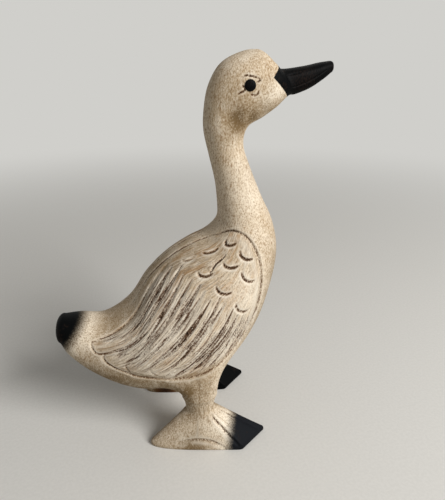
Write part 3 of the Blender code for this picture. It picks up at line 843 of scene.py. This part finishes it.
def lighten(goose, faces):
    """Bring the goose down to its number of triangles."""
    decimate = goose.modifiers.new("lighter", "DECIMATE")
    decimate.ratio = TRIANGLES / sum(len(face) - 2 for face in faces)
    evaluated = goose.evaluated_get(bpy.context.evaluated_depsgraph_get())
    light = bpy.data.meshes.new_from_object(evaluated)
    goose.modifiers.clear()
    goose.data = light


def make_goose():
    points, places, faces = build_skin()
    find_places(points, places)
    mesh = mesh_of(points, faces)
    surface = BVHTree.FromPolygons([v.co for v in mesh.vertices], [p.vertices for p in mesh.polygons])
    normals = normals_of(mesh)
    carving = carve(points, surface)
    paint, eye, halo = paint_distance(points)
    from_middle = np.clip(EYE_RADIUS - eye, 0, EYE_RADIUS) / EYE_RADIUS
    dome = np.sqrt(np.clip(1 - from_middle**2, 0, 1)) * (eye > 0)
    rim = np.clip(1 - abs(eye + EYE_RIM_AT) / EYE_RIM_REACH, 0, 1)
    depth = (carving.depth + carving.hollow) * (eye < 0) + EYE_RIM * rim - EYE_DOME * dome
    moved = points - normals * depth[:, None]
    moved[:, 0] += (CAD_LOW.x + CAD_HIGH.x) / 2 / MM - (moved[:, 0].min() + moved[:, 0].max()) / 2
    moved = np.clip(moved, np.array(CAD_LOW) / MM, np.array(CAD_HIGH) / MM) * MM
    mesh.vertices.foreach_set("co", moved.ravel())
    keep(mesh, "cut", carving.cut)
    keep(mesh, "ridge", carving.ridge)
    keep(mesh, "wing", inside_wing(places))
    keep(mesh, "paint", paint)
    # Brown patches: stain, and painted shade under the jaw, belly, tail and on the inner heels
    keep(mesh, "patch", patches(points, STAIN_AND_SHADE_PATCHES))
    # Pale patches: thicker limewash and painted highlights, and the pale halo round the paint
    keep(mesh, "limewash_and_highlight", np.maximum(patches(points, LIMEWASH_AND_HIGHLIGHT_PATCHES), HALO_STRENGTH * halo))
    keep(mesh, "flow", flow_of(points, places))
    mesh.update()
    mesh.shade_smooth()
    goose = bpy.data.objects.new("goose_carved", mesh)
    bpy.context.scene.collection.objects.link(goose)
    lighten(goose, faces)
    return goose


def linear(red, green, blue):
    """Turn a colour of 0 to 255 as seen on a screen into the shader's linear one."""
    parts = (part / 255 for part in (red, green, blue))
    return (*(((part + 0.055) / 1.055) ** 2.4 if part > 0.04 else part / 12.92 for part in parts), 1)


CREAM = linear(224, 208, 184)
PALE = linear(240, 228, 208)
WHITE = linear(249, 241, 226)
TAN = linear(194, 170, 136)
STREAK = linear(138, 103, 64)
AMBER = linear(180, 139, 92)
STAIN = linear(120, 98, 67)
GROOVE = linear(92, 62, 38)
PIT = linear(32, 22, 18)
BLACK = linear(3, 4, 5)
# The grey of a painted sheen on the black of the right toes
SHEEN_GREY = linear(24, 26, 30)
WORN = linear(40, 29, 24)
BUMP_STRENGTH = 0.6
BUMP_HEIGHT = 0.4
SPECULAR = 0.05


class Shader:
    """Writes a material's nodes as short formulas."""

    def __init__(self, name):
        self.material = bpy.data.materials.new(name)
        self.material.use_nodes = True
        self.nodes = self.material.node_tree.nodes
        self.links = self.material.node_tree.links
        self.nodes.clear()
        self.spot = self.scaled(self.nodes.new("ShaderNodeTexCoord").outputs["Object"], 1 / MM)

    def put(self, socket, value):
        if isinstance(value, bpy.types.NodeSocket):
            self.links.new(value, socket)
        else:
            socket.default_value = value

    def attribute(self, name, output="Fac"):
        node = self.nodes.new("ShaderNodeAttribute")
        node.attribute_name = name
        return node.outputs[output]

    def split(self, vector):
        node = self.nodes.new("ShaderNodeSeparateXYZ")
        self.put(node.inputs[0], vector)
        return node.outputs

    def scaled(self, vector, scale):
        node = self.nodes.new("ShaderNodeVectorMath")
        node.operation = "MULTIPLY"
        self.put(node.inputs[0], vector)
        node.inputs[1].default_value = scale if isinstance(scale, tuple) else (scale,) * 3
        return node.outputs[0]

    def math(self, operation, *values):
        node = self.nodes.new("ShaderNodeMath")
        node.operation = operation
        for socket, value in zip(node.inputs, values):
            self.put(socket, value)
        return node.outputs[0]

    def product(self, first, *others):
        for other in others:
            first = self.math("MULTIPLY", first, other)
        return first

    def capped(self, most, *values):
        """Multiply the values and stop at the most."""
        return self.math("MINIMUM", most, self.product(*values))

    def noise(self, vector, scale, detail=3, roughness=0.55):
        """Make a noise. The scale is how many of its waves fit in a millimetre."""
        node = self.nodes.new("ShaderNodeTexNoise")
        self.put(node.inputs["Vector"], self.scaled(vector, scale))
        node.inputs["Scale"].default_value = 1
        node.inputs["Detail"].default_value = detail
        node.inputs["Roughness"].default_value = roughness
        return node.outputs[0]

    def ramp(self, value, low, high, to_low=0.0, to_high=1.0):
        node = self.nodes.new("ShaderNodeMapRange")
        node.interpolation_type = "SMOOTHSTEP"
        for socket, number in zip(node.inputs, (value, low, high, to_low, to_high)):
            self.put(socket, number)
        return node.outputs[0]

    def lines(self, noise, width):
        """Turn a noise into thin lines along its middle value."""
        return self.ramp(self.math("ABSOLUTE", self.math("SUBTRACT", noise, 0.5)), width, 0.0)

    def mix(self, amount, first, second):
        node = self.nodes.new("ShaderNodeMix")
        node.data_type = "RGBA"
        self.put(node.inputs[0], amount)
        self.put(node.inputs[6], first)
        self.put(node.inputs[7], second)
        return node.outputs[2]

    def layers(self, colour, *layers):
        """Lay colours over a first one. Each layer is how much of it covers, and its colour."""
        for amount, over in layers:
            colour = self.mix(amount, colour, over)
        return colour

    def finish(self, surface):
        output = self.nodes.new("ShaderNodeOutputMaterial")
        self.links.new(surface, output.inputs["Surface"])
        return self.material


def wood_material():
    """Make the limewashed and stained wood, and the black paint on it."""
    wood = Shader("limewashed_wood")
    spot = wood.spot
    flow = wood.attribute("flow", "Vector")
    names = ("cut", "ridge", "wing", "paint", "patch", "limewash_and_highlight")
    cut, ridge, wing, paint, patch, limewash_and_highlight = (wood.attribute(name) for name in names)
    open_wood = wood.math("SUBTRACT", 1, wing)
    _, to_left, up = wood.split(spot)
    low_down = wood.product(wood.ramp(up, 85, 60), wood.ramp(up, 15, 45, 0.35, 1))

    broad = wood.noise(spot, (0.03, 0.03, 0.02), 2)
    cloud = wood.noise(spot, (0.12, 0.12, 0.07), 4, 0.6)
    grain = wood.noise(spot, (0.9, 0.9, 0.16), 4, 0.65)
    speck = wood.noise(spot, (1.1, 1.1, 0.6), 2, 0.6)
    fine = wood.noise(spot, 2.2, 2)
    legs = wood.noise(spot, (0.45, 0.45, 0.13), 3, 0.6)
    hair = wood.noise(flow, (0.06, 0.75, 1), 4, 0.65)
    feather = wood.noise(flow, (0.025, 0.16, 1), 3)
    dots = wood.noise(flow, (0.6, 0.6, 1), 1)
    long_hairs = wood.lines(wood.noise(flow, (0.03, 0.3, 1), 2, 0.5), 0.03)
    short_hairs = wood.lines(wood.noise(flow, (0.045, 0.6, 3), 2, 0.5), 0.04)
    hairlines = wood.math("MAXIMUM", long_hairs, short_hairs)

    # The limewash and the brown that is brushed over it, with longer marks on the legs
    mottle = wood.math("ADD", wood.ramp(speck, 0.5, 0.66, 0, 0.6), wood.ramp(grain, 0.5, 0.68, 0, 0.5))
    mottle = wood.product(wood.math("MINIMUM", mottle, 0.85), wood.ramp(wing, 0, 1, 1, 0.45))
    colour = wood.layers(
        CREAM,
        (wood.ramp(broad, 0.4, 0.62, 0, 0.6), TAN),
        (wood.ramp(cloud, 0.48, 0.66, 0, 0.55), PALE),
        (wood.ramp(speck, 0.46, 0.34, 0, 0.6), PALE),
        (mottle, STREAK),
        (wood.product(open_wood, wood.ramp(fine, 0.57, 0.68, 0, 0.7)), STAIN),
        (wood.product(open_wood, low_down, wood.ramp(legs, 0.5, 0.62, 0, 0.6)), STAIN),
        (wood.product(open_wood, low_down, wood.ramp(legs, 0.44, 0.34, 0, 0.5)), PALE),
    )
    # The wing, where everything runs along the feathers
    colour = wood.layers(
        colour,
        (wood.product(wing, wood.ramp(feather, 0.47, 0.62, 0, 0.6)), AMBER),
        (wood.product(wing, wood.ramp(hair, 0.47, 0.33, 0, 0.9)), PALE),
        (wood.product(wing, wood.ramp(hair, 0.54, 0.68, 0, 0.75)), STREAK),
        (wood.product(wing, hairlines, 0.5), GROOVE),
    )
    # The patches of stain and painted shade and of limewash and painted highlights, the pale
    # borders of the cuts (partly limewash, partly a painted highlight), and the cuts
    cloudy = wood.ramp(cloud, 0.35, 0.65, 1, 0.65)
    specked = wood.ramp(speck, 0.3, 0.6, 0.7, 1.15)
    uneven = wood.math("ADD", wood.product(speck, 0.7), wood.product(hair, 0.7))
    dark = wood.product(cut, wood.ramp(uneven, 0.52, 0.88, 0.3, 1.4))
    colour = wood.layers(
        colour,
        (wood.capped(0.95, patch, cloudy, specked), STAIN),
        # Where the patches add up strongest, mostly on the inner heels, the painted shade goes on to
        # groove brown and then to pit black
        (wood.ramp(patch, 1.1, 1.9), GROOVE),
        (wood.ramp(patch, 1.7, 2.5, 0, 0.85), PIT),
        (wood.capped(1, limewash_and_highlight, wood.ramp(speck, 0.62, 0.42, 0.3, 0.9)), PALE),
        (wood.capped(1, ridge, wood.ramp(speck, 0.35, 0.6, 0.4, 1)), WHITE),
        (wood.ramp(dark, 0.1, 0.7, 0, 0.95), GROOVE),
        (wood.product(wood.ramp(dark, 0.72, 1.02), wood.ramp(dots, 0.42, 0.56, 0.1, 1)), PIT),
    )
    # The black paint, worn brown in places. It is greyer on the right toes, a painted sheen where the
    # light glances off them
    ragged = wood.math("ADD", paint, wood.ramp(speck, 0.3, 0.7, -0.15, 0.15))
    covered = wood.ramp(ragged, -1.5, 0.8)
    rubbed = wood.math("MAXIMUM", wood.ramp(cloud, 0.54, 0.64), patch)
    worn = wood.product(wood.math("MINIMUM", 1, rubbed), wood.ramp(speck, 0.42, 0.6, 0, 0.6))
    sheen_on_right_toes = wood.product(wood.ramp(up, 60, 40), wood.ramp(to_left, 10, -10))
    black = wood.layers(BLACK, (sheen_on_right_toes, SHEEN_GREY), (worn, WORN))
    colour = wood.mix(covered, colour, black)

    height = wood.math("ADD", wood.product(grain, 0.5), wood.product(hair, wing, 0.9))
    height = wood.math("ADD", height, wood.product(speck, 0.5))
    height = wood.math("SUBTRACT", height, wood.product(hairlines, wing, 0.6))
    bump = wood.nodes.new("ShaderNodeBump")
    bump.inputs["Strength"].default_value = BUMP_STRENGTH
    bump.inputs["Distance"].default_value = BUMP_HEIGHT * MM
    wood.put(bump.inputs["Height"], height)
    roughness = wood.math("ADD", wood.ramp(covered, 0, 1, 0.6, 0.44), wood.product(speck, 0.12))
    shader = wood.nodes.new("ShaderNodeBsdfPrincipled")
    wood.put(shader.inputs["Base Color"], colour)
    wood.put(shader.inputs["Roughness"], roughness)
    wood.put(shader.inputs["Normal"], bump.outputs[0])
    shader.inputs["Specular IOR Level"].default_value = SPECULAR
    return wood.finish(shader.outputs[0])


FLOOR_RADIUS = 4
FLOOR_FADES = (300, 1500)
FLOOR_COLOUR = linear(188, 187, 182)
FLOOR_SEEN = linear(222, 221, 217)
BACKDROP = linear(208, 207, 203)
WORLD_LIGHT = linear(244, 241, 236)
WORLD_STRENGTH = 0.28


def make_floor():
    """Lay a pale disc that fades into the backdrop far from the goose."""
    mesh = bpy.data.meshes.new("floor")
    disc = bmesh.new()
    bmesh.ops.create_circle(disc, cap_ends=True, segments=96, radius=FLOOR_RADIUS)
    disc.to_mesh(mesh)
    disc.free()
    floor = bpy.data.objects.new("floor", mesh)
    bpy.context.scene.collection.objects.link(floor)
    pale = Shader("pale_floor")
    distance = pale.nodes.new("ShaderNodeVectorMath")
    distance.operation = "LENGTH"
    pale.put(distance.inputs[0], pale.spot)
    far = pale.ramp(distance.outputs["Value"], *FLOOR_FADES)
    grit = pale.noise(pale.spot, 0.4, 2)
    seen = pale.nodes.new("ShaderNodeLightPath").outputs["Is Camera Ray"]
    tone = pale.mix(seen, FLOOR_COLOUR, FLOOR_SEEN)
    matt = pale.nodes.new("ShaderNodeBsdfPrincipled")
    pale.put(matt.inputs["Base Color"], pale.mix(pale.ramp(grit, 0.3, 0.7, 0, 0.15), tone, FLOOR_COLOUR))
    matt.inputs["Roughness"].default_value = 0.85
    glow = pale.nodes.new("ShaderNodeEmission")
    glow.inputs["Color"].default_value = BACKDROP
    blend = pale.nodes.new("ShaderNodeMixShader")
    pale.put(blend.inputs[0], pale.product(far, seen))
    pale.put(blend.inputs[1], matt.outputs[0])
    pale.put(blend.inputs[2], glow.outputs[0])
    mesh.materials.append(pale.finish(blend.outputs[0]))


def light_world():
    """Light the goose softly from all round, and show the backdrop to the camera and in gloss."""
    world = bpy.data.worlds.new("studio")
    bpy.context.scene.world = world
    world.use_nodes = True
    nodes, links = world.node_tree.nodes, world.node_tree.links
    nodes.clear()
    rays = nodes.new("ShaderNodeLightPath")
    seen = nodes.new("ShaderNodeMath")
    seen.operation = "MAXIMUM"
    links.new(rays.outputs["Is Camera Ray"], seen.inputs[0])
    links.new(rays.outputs["Is Glossy Ray"], seen.inputs[1])
    light = nodes.new("ShaderNodeBackground")
    light.inputs["Color"].default_value = WORLD_LIGHT
    light.inputs["Strength"].default_value = WORLD_STRENGTH
    shown = nodes.new("ShaderNodeBackground")
    shown.inputs["Color"].default_value = BACKDROP
    blend = nodes.new("ShaderNodeMixShader")
    output = nodes.new("ShaderNodeOutputWorld")
    links.new(seen.outputs[0], blend.inputs[0])
    links.new(light.outputs[0], blend.inputs[1])
    links.new(shown.outputs[0], blend.inputs[2])
    links.new(blend.outputs[0], output.inputs["Surface"])


KEY_PLACE = (0.98, -1.1, 1.1)
KEY_TARGET = (0, 0, 0.15)
KEY_SIZE = 0.9
KEY_POWER = 31
KEY_COLOUR = (1, 0.985, 0.965)


def light_key():
    lamp = bpy.data.lights.new("key", "AREA")
    lamp.shape = "DISK"
    lamp.size = KEY_SIZE
    lamp.energy = KEY_POWER
    lamp.color = KEY_COLOUR
    obj = bpy.data.objects.new("key", lamp)
    obj.location = KEY_PLACE
    obj.rotation_euler = (Vector(KEY_TARGET) - Vector(KEY_PLACE)).to_track_quat("-Z", "Y").to_euler()
    bpy.context.scene.collection.objects.link(obj)


CAMERA_PLACE = (-0.0437, -0.3409, 0.313)
CAMERA_LOOKS = (0.2079, 0.9781)
CAMERA_PITCH = math.radians(23.1)
CAMERA_LENS = 32.4
CAMERA_SENSOR = 36


def make_camera():
    camera = bpy.data.cameras.new("camera")
    camera.lens = CAMERA_LENS
    camera.sensor_width = CAMERA_SENSOR
    camera.clip_start = 0.01
    obj = bpy.data.objects.new("camera", camera)
    obj.location = CAMERA_PLACE
    turn = -math.atan2(*CAMERA_LOOKS)
    obj.rotation_euler = Euler((math.pi / 2 - CAMERA_PITCH, 0, turn))
    bpy.context.scene.collection.objects.link(obj)
    bpy.context.scene.camera = obj


goose = make_goose()
goose.data.materials.clear()
goose.data.materials.append(wood_material())
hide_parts("goose")
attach(goose, "root")

make_floor()
light_world()
light_key()
make_camera()
bpy.context.scene.view_settings.view_transform = "Standard"
